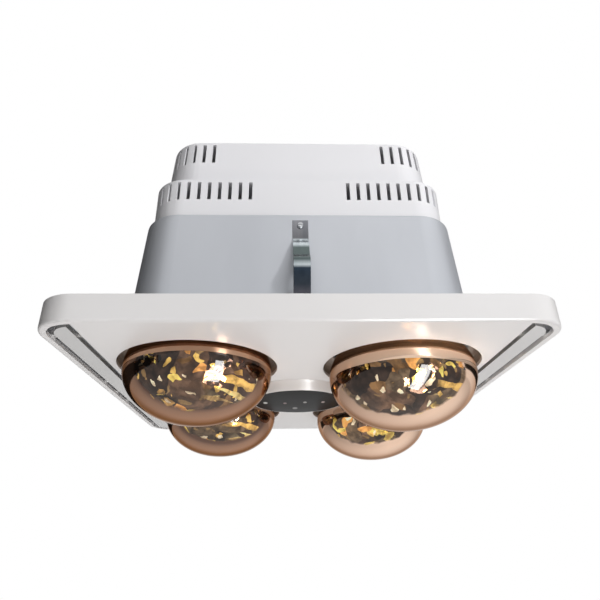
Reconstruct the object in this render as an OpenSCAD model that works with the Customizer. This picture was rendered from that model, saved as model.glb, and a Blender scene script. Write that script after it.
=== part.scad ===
// Ceiling heat lamp for a bathroom: four reflector lamps in a square fascia under a vented tub.
// Millimetres, +Z up into the ceiling, origin at the middle of the fascia in the plane of the ceiling.
// Front is -Y and left is -X, as seen from the front.

/* [Fascia] */
// Depth of the fascia's rim below the ceiling
fascia_h = 21; // [19:1:28]
// Corner radius of the fascia in plan
fascia_corner_r = 30; // [26:1:36]
// Thickness of the fascia's plate and rim
fascia_wall = 3; // [2:0.5:4]
// Radius of the fascia's lower edge
fascia_edge_r = 2.5; // [1:0.5:4]
// Gap between a lamp's glass and its hole
lamp_gap = 5; // [3:0.5:7]
// Distance between the lamp centres
lamp_pitch = 175; // [172:1:182]

/* [Air slots] */
// Width of the plate between a lamp hole and the air slot beside it
slot_land = 4.6; // [4.2:0.1:10]
// Width of the air slot along each side of the fascia
slot_w = 24; // [20:1:26]
// Distance from the fascia's side to the slot
slot_margin = 6.4; // [5.5:0.1:8]
// Distance from the fascia's front and back to the slot's ends
slot_end_margin = 4.6; // [4:0.1:12]
// Air gap all round the slot cover
slot_gap = 5; // [3:0.5:7]
// Number of cross bars under each slot cover
cover_bars = 5; // [4:1:7]
// Width of a cross bar
bar_w = 6; // [4:0.5:10]
// Height of a cross bar
bar_h = 3; // [2:0.5:5]

/* [Window] */
// Width of the plate between the window's hole and a lamp hole
window_land = 7.6; // [6:0.1:14]
// How far the window stands below the fascia
window_proud = 9.4; // [7:0.2:12]
// Width of the soft ring round the window
bezel_w = 4.4; // [3:0.2:6]
// Thickness of the window
window_t = 2.2; // [1.5:0.1:3]
// Number of indicator lights in the row
indicator_count = 4; // [2:1:5]
// Distance between indicator lights
indicator_pitch = 18; // [12:1:20]

/* [Lamps] */
// Largest radius of the lamp's glass
bulb_r = 62.5; // [58:0.5:63]
// Height of the glass from its face to its widest ring
bulb_face_h = 44; // [38:1:48]
// Overall length of the lamp with its cap
lamp_len = 175; // [172:1:178]
// How far the lamp's face hangs below the fascia
lamp_drop = 49; // [45:1:52]
// Thickness of the lamp's glass
glass_t = 1.2; // [0.8:0.1:1.6]
// Radius of the glass neck
neck_r = 19; // [17:0.5:21]
// Radius over the cap's thread
cap_r = 13; // [12.5:0.1:13.2]
// Lead of the cap's thread for one turn
thread_lead = 3.63; // [3:0.01:4]
// Turns by which the two lamps on the right are short of home
right_turns_short = 1.5; // [0:0.25:2]

/* [Cups and holders] */
// Thickness of the polished cup
cup_t = 0.8; // [0.6:0.1:1.2]
// Height of the cup above the fascia's plate
cup_h = 12.4; // [10:0.2:12.6]
// How much the cup's upper edge closes in past the lamp's widest ring
cup_close = 3; // [2:0.5:4]
// Width of the cup's flange
cup_flange = 3; // [2:0.5:3.5]
// Outer radius of the ceramic lampholder
holder_r = 20.5; // [19:0.5:22]
// Thickness of the brass socket shell
shell_t = 0.85; // [0.6:0.05:1]
// Width of the bridge strip over the lampholders
bridge_w = 34; // [30:1:38]
// Thickness of the bridge strip
bridge_t = 1.5; // [1:0.1:2]

/* [Tub] */
// How much the tub's side stands in from the lamps' widest rings, at the ceiling
tub_close = 4.4; // [3:0.2:5]
// Height of the lampholders' bridges over the tub's deck
bridge_rise = 8; // [6:0.5:12]
// Inward lean of the tub's walls, in mm for each mm of height
tub_draft = 0.063; // [0.03:0.001:0.07]
// Corner radius of the tub at the ceiling
tub_corner_r = 41; // [36:1:46]
// Radius of the tub's upper edge
tub_top_r = 4; // [2:0.5:5]
// Thickness of the tub's sheet
tub_t = 1.2; // [0.8:0.1:1.6]
// Gap between the flange's edge and the fascia's rim
flange_fit = 1; // [0.5:0.5:3]
// Depth of the flange's face below the ceiling
flange_drop = 2.8; // [2.6:0.1:4]

/* [Vented tiers] */
// Step in from the tub's side at the ceiling to the lower tier's side
lower_step = 10.6; // [9.6:0.2:14]
// Height of the lower tier
lower_h = 39.6; // [36:0.2:44]
// Corner radius of the lower tier
lower_corner_r = 32; // [28:1:38]
// Step in from the lower tier's side to the upper tier's foot
upper_step = 6.5; // [5:0.5:9]
// Height of the upper tier
upper_h = 54; // [52:0.5:60]
// Corner radius of the upper tier
upper_corner_r = 35; // [30:1:40]
// Inward lean of the upper tier's walls, in mm for each mm of height
upper_draft = 0.067; // [0.03:0.001:0.08]
// Thickness of the tiers' walls
tier_wall = 2.4; // [1.8:0.1:3]
// Width of a vent slot
vent_w = 3.3; // [2.5:0.1:4.5]
// Distance between vent slots in the lower tier
lower_vent_pitch = 9.3; // [8:0.1:11]
// Distance between vent slots in the upper tier
upper_vent_pitch = 9.4; // [8:0.1:11]
// Vent slots on each side of a corner of the lower tier
lower_vents = 9; // [4:1:9]
// Vent slots on each side of a corner of the upper tier
upper_vents = 4; // [2:1:7]
// Height of the lower tier's slots
lower_vent_h = 19; // [14:0.5:24]
// Height of the upper tier's slots
upper_vent_h = 23; // [16:0.5:28]

/* [Spring straps] */
// Width of a spring strap
strap_w = 13.6; // [10:0.2:18]
// Thickness of a spring strap
strap_t = 0.8; // [0.6:0.1:1]
// Height of the strap's flat foot
foot_h = 19; // [16:0.5:22]
// Distance from the tub's deck down to the strap's upper end
strap_below = 8.2; // [7:0.2:12]
// How far the strap's bow stands off the tub
bow_out = 20; // [16:0.5:24]
// Distance from the bend down to the crest of the bow
bow_drop = 33; // [28:1:38]
// Height of the strap's tail above the ceiling
tail_rise = 5.8; // [5:0.2:12]
// How far the tail stands off the tub
tail_out = 7; // [6.5:0.1:9]

/* [Fan] */
// Outer radius of the impeller
impeller_r = 56; // [50:1:58]
// Height of the impeller's blades
blade_h = 36; // [30:1:38]
// Number of blades
blade_count = 28; // [20:1:36]
// Thickness of a blade
blade_t = 0.8; // [0.6:0.1:1.2]
// Radius of the air inlet
inlet_r = 40; // [36:1:42]
// Radius of the motor's can
motor_r = 38; // [36:0.5:40]
// Height of the motor's can
motor_h = 27; // [26:0.5:28]
// Radius of the motor's shaft
shaft_r = 4; // [3:0.1:5]

/* [Clearances and screws] */
// Running clearance of a shaft in its bush, on the radius
run_fit = 0.03; // [0.01:0.01:0.1]
// Clearance of a seated piece, on each side
seat_fit = 0.3; // [0.2:0.05:0.5]
// Clearance between the cap's thread and the socket shell
thread_fit = 0.4; // [0.3:0.05:0.6]
// Radius of a small screw
screw_r = 1.5; // [1.2:0.1:2]
// Clearance round a screw
screw_fit = 0.25; // [0.1:0.05:0.4]

/* [Hidden] */

// Places of the four lamps: front left, front right, back left, back right
CORNERS = [[-1, -1], [1, -1], [-1, 1], [1, 1]];
lamp_at = lamp_pitch / 2;
right_slack = right_turns_short * thread_lead;
lamp_hole_r = bulb_r + lamp_gap;

// Widths, all from the lamps outwards
fascia_w = 2 * (lamp_at + lamp_hole_r + slot_land + slot_w + slot_margin);
tub_half = lamp_at + bulb_r - tub_close;
flange_half = fascia_w / 2 - fascia_wall - flange_fit;
lower_half = tub_half - lower_step;
upper_half = lower_half - upper_step;
bezel_lap = 1.6;
window_hole_r = lamp_at * sqrt(2) - lamp_hole_r - window_land;
window_r = window_hole_r - bezel_w + bezel_lap;
cup_neck_r = bulb_r - cup_close;

// Heights of the main levels
fascia_z = -fascia_h;
plate_z = fascia_z + fascia_wall;
flange_z = -flange_drop - tub_t;
holder_roof_t = 5;
holder_roof_z = fascia_z - lamp_drop + lamp_len + 1;
holder_top_z = holder_roof_z + holder_roof_t;
tub_h = holder_top_z - bridge_rise;
deck_z = tub_h;
lower_z = deck_z;
upper_z = lower_z + lower_h;
top_z = upper_z + upper_h;
strap_bend_z = tub_h - strap_below - foot_h;
tail_drop = strap_bend_z - tail_rise;

// Levels of a lamp that is screwed home
lamp_face_z = fascia_z - lamp_drop;
lamp_wide_z = lamp_face_z + bulb_face_h;
lamp_tip_z = lamp_face_z + lamp_len;
cap_len = 27;
cap_z = lamp_tip_z - cap_len;
neck_z = cap_z - 22;
cap_skirt_r = cap_r;
thread_rings = 5;
button_h = 1.4;
button_r = 4.8;
insulator_h = 2.4;

// Levels of a lampholder
holder_mouth_z = cap_z - 2;
socket_r = cap_r + thread_fit + shell_t;
holder_screw_at = 14;
bridge_z = holder_top_z;
bridge_half_len = lamp_at + holder_r + seat_fit + bridge_t;
bridge_foot = 12;

// Levels of the fan
inlet_rise = 10;
inlet_flange = 14;
inlet_t = 1.2;
shroud_gap = 1.4;
shroud_t = 1.4;
impeller_z = deck_z + inlet_rise - 3;
blade_inner_r = inlet_r + inlet_t + shroud_gap + 1;
back_plate_z = impeller_z + shroud_t + blade_h;
hub_r = 10;
hub_h = 9;
hub_top_z = back_plate_z + shroud_t + 2;
bracket_z = hub_top_z + 6;
bracket_t = bridge_t;
bracket_leg_r = impeller_r + 7;
bracket_leg_w = 14;
motor_z = bracket_z + bracket_t;
can_t = 1.2;
end_plate_t = 2;
bush_r = 8;
stator_z = motor_z + end_plate_t + 3;
stator_h = motor_h - end_plate_t - can_t - 6;
air_gap = 0.5;
rotor_r = 22;

fine = 64;
rough = 32;

// A square with round corners, in plan; turn moves the corners' points off the ends of the sides
module rounded_square(half, r, turn = 0) {
    square([2 * half, 2 * (half - r)], center = true);
    square([2 * (half - r), 2 * half], center = true);
    for (c = CORNERS)
        translate([c.x * (half - r), c.y * (half - r)])
            rotate(turn)
                circle(r, $fn = fine);
}

// A thin layer of a rounded square, for the hulls of the leaning shells
layer_t = 0.01;
module layer(half, r, z) {
    translate([0, 0, z])
        linear_extrude(layer_t)
            rounded_square(half, r, 180 / fine);
}

// A rounded square that leans inwards and has a rounded upper edge
module leaning_block(half, r, z0, z1, draft, edge) {
    shoulder = draft * (z1 - edge - z0);
    hull() {
        layer(half, r, z0);
        for (a = [0:22.5:90]) {
            inset = shoulder + edge * (1 - cos(a));
            layer(half - inset, r - inset, z1 - edge + edge * sin(a) - layer_t);
        }
    }
}

// A screw with a round head: its head's seat is at the origin and its shank points down
head_r = 2 * screw_r;
head_h = 1.2 * screw_r;
module screw(len) {
    translate([0, 0, -len])
        cylinder(r = screw_r, h = len + layer_t, $fn = rough);
    difference() {
        cylinder(r1 = head_r, r2 = 0.75 * head_r, h = head_h, $fn = rough);
        translate([0, 0, 0.6 * head_h + head_h / 2])
            cube([1.6 * head_r, 0.5, head_h], center = true);
    }
}

// Points on a cubic curve
function curve(p, steps) = [
    for (i = [0:steps])
        let (t = i / steps, s = 1 - t)
            s * s * s * p[0] + 3 * s * s * t * p[1] + 3 * s * t * t * p[2] + t * t * t * p[3]
];

function reversed(list) = [for (i = [len(list) - 1:-1:0]) list[i]];

// Unit direction from one point to the next, and the outline of a strip along a line of points
function unit(v) = v / norm(v);
function turned(v) = [-v.y, v.x];
function side_at(p, i) = turned(unit(p[min(i + 1, len(p) - 1)] - p[max(i - 1, 0)]));
function strip(p, t) = concat(
    [for (i = [0:len(p) - 1]) p[i] + side_at(p, i) * t / 2],
    [for (i = [len(p) - 1:-1:0]) p[i] - side_at(p, i) * t / 2]
);

// Fascia: moulded plate with a rim, lamp holes, window hole, air slots, ribs and screw bosses
slot_out = fascia_w / 2 - slot_margin;
slot_in = slot_out - slot_w;
slot_end = fascia_w / 2 - slot_end_margin;
boss_r = 4.5;
boss_near = 30;
boss_far = slot_in - 11.6;
boss_out = (tub_half + flange_half) / 2 + 1;
BOSSES = concat(
    [for (c = CORNERS) [c.x * boss_near, c.y * boss_out]],
    [for (c = CORNERS) [c.x * boss_far, c.y * boss_far]]
);
pilot_depth = fascia_wall - 0.8;
rib_t = 2;
rib_h = 7;

// The slot's outline: its outer corners follow the fascia's, its inner ones are square
module slot_shape(side, inset) {
    corner = fascia_corner_r - slot_margin - inset;
    intersection() {
        union() {
            square([2 * (slot_out - inset), 2 * (slot_end - inset - corner)], center = true);
            square([2 * (slot_out - inset - corner), 2 * (slot_end - inset)], center = true);
            for (c = CORNERS)
                translate([c.x * (slot_out - inset - corner), c.y * (slot_end - inset - corner)])
                    circle(corner, $fn = fine);
        }
        translate([side * (slot_in + inset + fascia_w / 2), 0])
            square([fascia_w, fascia_w], center = true);
    }
}

// Half of the fascia's section, out to the distance reach, with its lower edge rounded
function fascia_section(reach) = concat(
    [[0, 0], [0, fascia_z]],
    [for (a = [90:-22.5:0])
        [reach - fascia_edge_r * (1 - cos(a)), fascia_z + fascia_edge_r * (1 - sin(a))]],
    [[reach, 0]]
);

// The sides are straight runs of that section and the corners are the same section turned
module fascia_body() {
    half = fascia_w / 2;
    straight = half - fascia_corner_r;
    for (a = [0:90:270])
        rotate([0, 0, a])
            translate([0, straight, 0])
                rotate([90, 0, 0])
                    linear_extrude(2 * straight)
                        polygon(fascia_section(half));
    for (c = CORNERS)
        translate([c.x * straight, c.y * straight, 0])
            rotate_extrude($fn = fine)
                polygon(fascia_section(fascia_corner_r));
}

module fascia() {
    color("white")
    difference() {
        union() {
            difference() {
                fascia_body();
                translate([0, 0, plate_z])
                    linear_extrude(fascia_h)
                        rounded_square(fascia_w / 2 - fascia_wall, fascia_corner_r - fascia_wall);
            }
            for (b = BOSSES)
                translate([b.x, b.y, plate_z - layer_t])
                    cylinder(r = boss_r, h = flange_z - plate_z + layer_t, $fn = rough);
            rib_from = receiver_r + 2.5;
            rib_len = fascia_w / 2 - fascia_wall + 0.5 - rib_from;
            for (a = [90, 270])
                rotate([0, 0, a])
                    translate([rib_from, -rib_t / 2, plate_z - layer_t])
                        cube([rib_len, rib_t, rib_h]);
        }
        for (c = CORNERS)
            translate([c.x * lamp_at, c.y * lamp_at, fascia_z - 1])
                cylinder(r = lamp_hole_r, h = fascia_wall + 2, $fn = fine);
        translate([0, 0, fascia_z - 1])
            cylinder(r = window_hole_r, h = fascia_wall + 2, $fn = fine);
        for (side = [-1, 1])
            translate([0, 0, fascia_z - 1])
                linear_extrude(fascia_wall + 2)
                    slot_shape(side, 0);
        for (b = BOSSES)
            translate([b.x, b.y, flange_z - boss_depth])
                cylinder(r = screw_r, h = boss_depth + 1, $fn = rough);
        for (p = concat(COVER_SCREWS, CUP_SCREWS, RECEIVER_SCREWS))
            translate([p.x, p.y, plate_z - pilot_depth])
                cylinder(r = screw_r, h = pilot_depth + 1, $fn = rough);
    }
}

// Slot covers: strips that stand in the air slots on cross bars
bar_in = slot_in - 7;
bar_out = fascia_w / 2 - fascia_wall - seat_fit;
bar_end = slot_end - 30;
bar_mid = 36;
BARS = concat(
    [-bar_end],
    [for (i = [1:cover_bars - 2]) bar_mid * (2 * (i - 1) / max(cover_bars - 3, 1) - 1)],
    [bar_end]
);
COVER_SCREWS = [for (side = [-1, 1]) for (y = BARS) [side * (bar_in + 3.2), y]];
cover_recess = 0.4;

module slot_cover(side) {
    color("whitesmoke")
    difference() {
        union() {
            translate([0, 0, fascia_z + cover_recess])
                linear_extrude(fascia_wall - cover_recess + 0.5)
                    slot_shape(side, slot_gap);
            for (y = BARS)
                translate([side * (bar_in + bar_out) / 2, y, plate_z + bar_h / 2])
                    cube([bar_out - bar_in, bar_w, bar_h], center = true);
        }
        for (p = COVER_SCREWS)
            translate([p.x, p.y, plate_z - 1])
                cylinder(r = screw_r + screw_fit, h = bar_h + 2, $fn = rough);
    }
}

module cover_screws() {
    color("silver")
    for (p = COVER_SCREWS)
        translate([p.x, p.y, plate_z + bar_h])
            screw(bar_h + pilot_depth - 0.2);
}

// Window in the middle: soft ring, dark disc, lights on a board, and a cover behind them
window_z = fascia_z - window_proud;
lens_seat_z = window_z + window_t;
bezel_foot_r = window_r + bezel_w + 1;
board_r = window_r - 2.6;
board_t = 1.6;
board_z = fascia_z;
snap_z = plate_z + 0.1;
snap_h = 1.6;

module window_bezel() {
    inner_r = window_r + 0.2;
    slope = curve([[bezel_foot_r, fascia_z - 0.1], [bezel_foot_r - 1.2, fascia_z - 1],
        [inner_r + 1.6, window_z + 0.6], [inner_r + 0.5, window_z]], 8);
    color("white")
    rotate_extrude($fn = fine)
        polygon(concat(slope, [
            [inner_r, window_z],
            [inner_r, lens_seat_z],
            [window_r - 2.4, lens_seat_z],
            [window_r - 2.4, board_z - 2],
            [board_r - 3, board_z - 2],
            [board_r - 3, board_z],
            [board_r + 0.2, board_z],
            [board_r + 0.2, snap_z + snap_h],
            [window_hole_r - 0.8, snap_z + snap_h],
            [window_hole_r + 1, snap_z + 0.4],
            [window_hole_r + 1, snap_z],
            [window_hole_r - seat_fit, snap_z],
            [window_hole_r - seat_fit, fascia_z - 0.1]
        ]));
}

window_dome = 0.8;
module window_lens() {
    dome = [for (i = [0:8]) let (r = window_r * i / 8) [r, window_z - window_dome * (1 - pow(i / 8, 2))]];
    color([0.16, 0.17, 0.19])
    rotate_extrude($fn = fine)
        polygon(concat(dome, [[window_r, lens_seat_z], [0, lens_seat_z]]));
}

led_r = 1.5;
eye_r = 3;
eye_y = 13;
module receiver_board() {
    color("darkgreen") {
        translate([0, 0, board_z])
            cylinder(r = board_r, h = board_t, $fn = fine);
        for (i = [0:indicator_count - 1])
            translate([(i - (indicator_count - 1) / 2) * indicator_pitch, 0, lens_seat_z + seat_fit])
                cylinder(r = led_r, h = board_z + layer_t - lens_seat_z - seat_fit, $fn = rough);
        translate([0, eye_y, lens_seat_z + 1.5])
            cylinder(r = eye_r, h = board_z + layer_t - lens_seat_z - 1.5, $fn = rough);
    }
}

receiver_lap = 3;
receiver_h = 10;
receiver_screw_at = window_hole_r + receiver_lap + head_r + screw_fit;
receiver_r = receiver_screw_at + head_r;
RECEIVER_SCREWS = [for (a = [0:90:270]) receiver_screw_at * [cos(a), sin(a)]];
module receiver_cover() {
    color("gainsboro")
    difference() {
        union() {
            translate([0, 0, plate_z])
                cylinder(r = window_hole_r + receiver_lap, h = receiver_h, $fn = fine);
            for (a = [0:90:270])
                rotate([0, 0, a])
                    translate([window_hole_r + receiver_lap / 2, -4, plate_z])
                        cube([receiver_r - window_hole_r - receiver_lap / 2, 8, 2]);
        }
        translate([0, 0, plate_z - 1])
            cylinder(r = window_hole_r + receiver_lap - 1.4, h = receiver_h - 0.8, $fn = fine);
        for (p = RECEIVER_SCREWS)
            translate([p.x, p.y, plate_z - 1])
                cylinder(r = screw_r + screw_fit, h = 4, $fn = rough);
        translate([0, window_r / 2, plate_z])
            cylinder(r = 3.2, h = receiver_h + 1, $fn = rough);
    }
}

module receiver_screws() {
    color("silver")
    for (p = RECEIVER_SCREWS)
        translate([p.x, p.y, plate_z + 2])
            screw(2 + pilot_depth - 0.2);
}

// Polished cups: spun bowls on the fascia's plate, one round each lamp
cup_in = lamp_hole_r + 0.4;
cup_wall = curve([[cup_in, plate_z + 2], [cup_in, plate_z + 0.6 * cup_h],
    [cup_neck_r + 4, plate_z + 0.9 * cup_h], [cup_neck_r, plate_z + cup_h]], 10);
cup_ear_r = 4.4;
cup_screw_r = cup_in + cup_flange + 1.6;
CUP_SCREWS = [for (c = CORNERS) for (a = [60, 180, 300])
    [c.x * (lamp_at + cup_screw_r * cos(a)), c.y * (lamp_at + cup_screw_r * sin(a))]];

module lamp_cup(i) {
    profile = concat(
        [[cup_in, plate_z], [cup_in + cup_flange, plate_z], [cup_in + cup_flange, plate_z + cup_t],
            [cup_in + cup_t, plate_z + cup_t]],
        [for (p = cup_wall) p + [cup_t, cup_t / 2]],
        reversed(cup_wall)
    );
    color("silver")
    difference() {
        union() {
            translate([CORNERS[i].x * lamp_at, CORNERS[i].y * lamp_at, 0])
                rotate_extrude($fn = fine)
                    polygon(profile);
            for (k = [3 * i:3 * i + 2])
                translate([CUP_SCREWS[k].x, CUP_SCREWS[k].y, plate_z])
                    cylinder(r = cup_ear_r, h = cup_t, $fn = rough);
        }
        for (p = CUP_SCREWS)
            translate([p.x, p.y, plate_z - 1])
                cylinder(r = screw_r + screw_fit, h = 3, $fn = rough);
    }
}

module cup_screws() {
    color("silver")
    for (p = CUP_SCREWS)
        translate([p.x, p.y, plate_z + cup_t])
            screw(cup_t + pilot_depth - 0.2);
}

// Lamps: glass envelope, filament on its stem, screw cap with its contact
function is_right(i) = CORNERS[i].x > 0;
module at_lamp(i) {
    translate([CORNERS[i].x * lamp_at, CORNERS[i].y * lamp_at, is_right(i) ? -right_slack : 0])
        children();
}

face_steps = 14;
glass_end_r = cap_r - 1.6;
function envelope(t) = concat(
    [for (i = [0:face_steps])
        let (a = 90 - 90 * i / face_steps)
            [(bulb_r - t) * cos(a), lamp_wide_z - (bulb_face_h - t) * sin(a)]],
    curve([[bulb_r - t, lamp_wide_z + 1], [bulb_r - t, lamp_wide_z + 26],
        [neck_r + 5 - t, lamp_wide_z + 50], [neck_r - t, neck_z - 6]], 12),
    curve([[neck_r - t, neck_z + 5], [neck_r - t, neck_z + 14],
        [glass_end_r - t, neck_z + 12], [glass_end_r - t, cap_z - 1]], 6),
    [[glass_end_r - t, cap_z + 4]]
);

module lamp_glass(i) {
    color([0.85, 0.6, 0.3, 0.6])
    at_lamp(i)
        rotate_extrude($fn = fine)
            polygon(concat(envelope(0), reversed(envelope(glass_t))));
}

filament_r = 13;
filament_z = lamp_wide_z + 4;
filament_wire = 0.7;
lead_r = 0.6;
hub_disc_r = 1.8;
filament_gap = 10;
stem_r = 5;
stem_z = filament_z + 18;
support_angles = [28, 88, 148, 212, 272, 332];
module lamp_filament(i) {
    color("lightgray")
    at_lamp(i) {
        translate([0, 0, stem_z])
            cylinder(r1 = stem_r, r2 = glass_end_r - glass_t - 0.2, h = cap_z + 2 - stem_z, $fn = rough);
        translate([0, 0, filament_z])
            difference() {
                rotate_extrude($fn = fine)
                    translate([filament_r, 0])
                        circle(filament_wire, $fn = 16);
                translate([0, -filament_gap / 2, -2])
                    cube([2 * filament_r, filament_gap, 4]);
            }
        translate([0, 0, filament_z - 2])
            cylinder(r = lead_r, h = stem_z - filament_z + 4, $fn = 16);
        translate([0, 0, filament_z - hub_disc_r / 2])
            cylinder(r = hub_disc_r, h = hub_disc_r, $fn = rough);
        for (a = support_angles)
            rotate([0, 0, a])
                translate([hub_disc_r - 0.3, -lead_r / 2, filament_z - lead_r / 2])
                    cube([filament_r - hub_disc_r + 0.3, lead_r, lead_r]);
    }
}

thread_z = cap_z + 4;
thread_depth = 0.8;
module lamp_cap(i) {
    ring = [for (k = [0:thread_rings * 8])
        [cap_r - thread_depth * (1 + cos(45 * k)) / 2, thread_z + k * thread_lead / 8]];
    crown_z = thread_z + thread_rings * thread_lead;
    insulator_z = lamp_tip_z - button_h - insulator_h;
    color("gold")
    at_lamp(i) {
        rotate_extrude($fn = fine)
            polygon(concat(
                [[glass_end_r + 0.1, cap_z], [cap_skirt_r, cap_z], [cap_skirt_r, cap_z + 1.5]],
                ring,
                [[cap_r - 1.4, crown_z + 0.5], [button_r + 3, insulator_z], [button_r + 2, insulator_z],
                    [cap_r - 2.2, crown_z - 0.2], [glass_end_r + 0.1, thread_z + 2]]
            ));
        translate([0, 0, insulator_z - 0.2])
            cylinder(r1 = button_r + 2.6, r2 = button_r, h = insulator_h + 0.2, $fn = fine);
        translate([0, 0, lamp_tip_z - button_h - layer_t])
            cylinder(r = button_r, h = button_h + layer_t, $fn = fine);
    }
}

// Lampholders: ceramic body, brass shell, contact tongue
module lamp_holders() {
    color("ivory")
    for (c = CORNERS)
        translate([c.x * lamp_at, c.y * lamp_at, 0])
            difference() {
                translate([0, 0, holder_mouth_z])
                    cylinder(r = holder_r, h = holder_top_z - holder_mouth_z, $fn = fine);
                translate([0, 0, holder_mouth_z - 1])
                    cylinder(r = socket_r + 0.05, h = holder_roof_z - holder_mouth_z + 1, $fn = fine);
                for (s = [-1, 1])
                    translate([0, s * holder_screw_at, holder_top_z - 4])
                        cylinder(r = screw_r, h = 5, $fn = rough);
            }
}

tongue_t = 0.6;
module socket_contacts() {
    color("goldenrod")
    for (c = CORNERS)
        translate([c.x * lamp_at, c.y * lamp_at, 0]) {
            translate([0, 0, holder_mouth_z + 3])
                difference() {
                    cylinder(r = socket_r, h = holder_roof_z - holder_mouth_z - 6, $fn = fine);
                    translate([0, 0, -1])
                        cylinder(r = socket_r - shell_t, h = holder_roof_z - holder_mouth_z, $fn = fine);
                }
            translate([0, 0, holder_roof_z - tongue_t / 2])
                cube([2 * button_r + 8, 6, tongue_t], center = true);
        }
}

// Bridges: bent steel strips on the deck that carry two lampholders each
bridge_h = bridge_z - deck_z;
BRIDGE_FEET = [-(bridge_half_len + bridge_foot / 2), bridge_half_len + bridge_foot / 2];
module holder_bridge(side) {
    color("lightsteelblue")
    translate([side * lamp_at, 0, 0])
        difference() {
            union() {
                translate([-bridge_w / 2, -bridge_half_len, bridge_z])
                    cube([bridge_w, 2 * bridge_half_len, bridge_t]);
                for (s = [-1, 1]) {
                    translate([0, s * (bridge_half_len - bridge_t / 2), deck_z + (bridge_h + bridge_t) / 2])
                        cube([bridge_w, bridge_t, bridge_h + bridge_t], center = true);
                    translate([0, s * (bridge_half_len + bridge_foot / 2 - layer_t), deck_z + bridge_t / 2])
                        cube([bridge_w, bridge_foot, bridge_t], center = true);
                }
            }
            for (y = [-lamp_at, lamp_at])
                for (s = [-1, 1])
                    translate([0, y + s * holder_screw_at, bridge_z - 1])
                        cylinder(r = screw_r + screw_fit, h = bridge_t + 2, $fn = rough);
            for (y = BRIDGE_FEET)
                for (s = [-1, 1])
                    translate([s * bridge_w / 4, y, deck_z - 1])
                        cylinder(r = screw_r + screw_fit, h = bridge_t + 2, $fn = rough);
        }
}

module holder_screws() {
    color("silver")
    for (side = [-1, 1])
        for (y = [-lamp_at, lamp_at])
            for (s = [-1, 1])
                translate([side * lamp_at, y + s * holder_screw_at, bridge_z + bridge_t])
                    screw(bridge_t + 3.6);
}

// Screws that hold the bridges, the motor's bracket and the inlet ring down on the deck
module deck_screws() {
    color("silver") {
        for (p = concat(BRIDGE_SCREWS, BRACKET_SCREWS))
            translate([p.x, p.y, deck_z + bridge_t])
                screw(bridge_t + tub_t + 2);
        for (p = INLET_SCREWS)
            translate([p.x, p.y, deck_z + inlet_t])
                screw(bridge_t + tub_t + 2);
    }
}

// Tub: pressed steel box with a flange that carries the fascia and a deck that carries the fan
boss_depth = 8;
deck_hole_r = holder_r + 2.5;
wire_hole_r = 5;
wire_hole = [0, inlet_r + inlet_flange + wire_hole_r + 3];
post_at = lower_half - 14;
POSTS = [for (c = CORNERS) [c.x * post_at, c.y * post_at]];
tub_foot_half = tub_half + tub_draft * (flange_drop + tub_t);
tub_corner = tub_corner_r + tub_draft * (flange_drop + tub_t);

module tub() {
    color([0.74, 0.75, 0.78])
    difference() {
        union() {
            leaning_block(tub_foot_half, tub_corner, flange_z, tub_h, tub_draft, tub_top_r);
            translate([0, 0, flange_z])
                linear_extrude(tub_t)
                    rounded_square(flange_half, fascia_corner_r - fascia_wall - flange_fit);
        }
        leaning_block(tub_foot_half - tub_t, tub_corner - tub_t, flange_z - layer_t, tub_h - tub_t,
            tub_draft, tub_top_r - tub_t / 2);
        for (c = CORNERS)
            translate([c.x * lamp_at, c.y * lamp_at, deck_z - 5])
                cylinder(r = deck_hole_r, h = 10, $fn = fine);
        translate([0, 0, deck_z - 5])
            cylinder(r = inlet_r + inlet_t + seat_fit, h = 10, $fn = fine);
        translate([wire_hole.x, wire_hole.y, deck_z - 5])
            cylinder(r = wire_hole_r, h = 10, $fn = rough);
        for (p = concat(DECK_SCREWS, POSTS))
            translate([p.x, p.y, deck_z - 5])
                cylinder(r = screw_r + screw_fit, h = 10, $fn = rough);
        for (b = BOSSES)
            translate([b.x, b.y, flange_z - 1])
                cylinder(r = screw_r + screw_fit, h = 4, $fn = rough);
        for (a = [0:90:270])
            rotate([0, 0, a])
                on_wall()
                    translate([0, 1, foot_h / 2 + 4])
                        rotate([90, 0, 0])
                            cylinder(r = screw_r + screw_fit, h = 10, center = true, $fn = rough);
    }
}

module flange_screws() {
    color("silver")
    for (b = BOSSES)
        translate([b.x, b.y, -flange_drop])
            screw(tub_t + boss_depth - 0.5);
}

// Tiers: two moulded covers with vent slots round their corners
// Place and heading of a slot at distance s along the outline from the middle of a corner
function vent_place(half, r, s) =
    let (arc = r * PI / 4, turn = min(max(s / r * 180 / PI, -45), 45), run = s - turn * PI / 180 * r)
        let (out = [cos(turn), sin(turn)], along = [-sin(turn), cos(turn)])
            [out * r + along * run, turn];

module vents(half, r, pitch, count, z0, h, depth) {
    for (corner = [45:90:315])
        for (k = [-count:count]) {
            place = vent_place(half, r, k * pitch);
            rotate([0, 0, corner])
                translate([(half - r) * sqrt(2) + place[0].x, place[0].y, z0 + h / 2])
                    rotate([0, 0, place[1]])
                        cube([depth, vent_w, h], center = true);
        }
}

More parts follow.
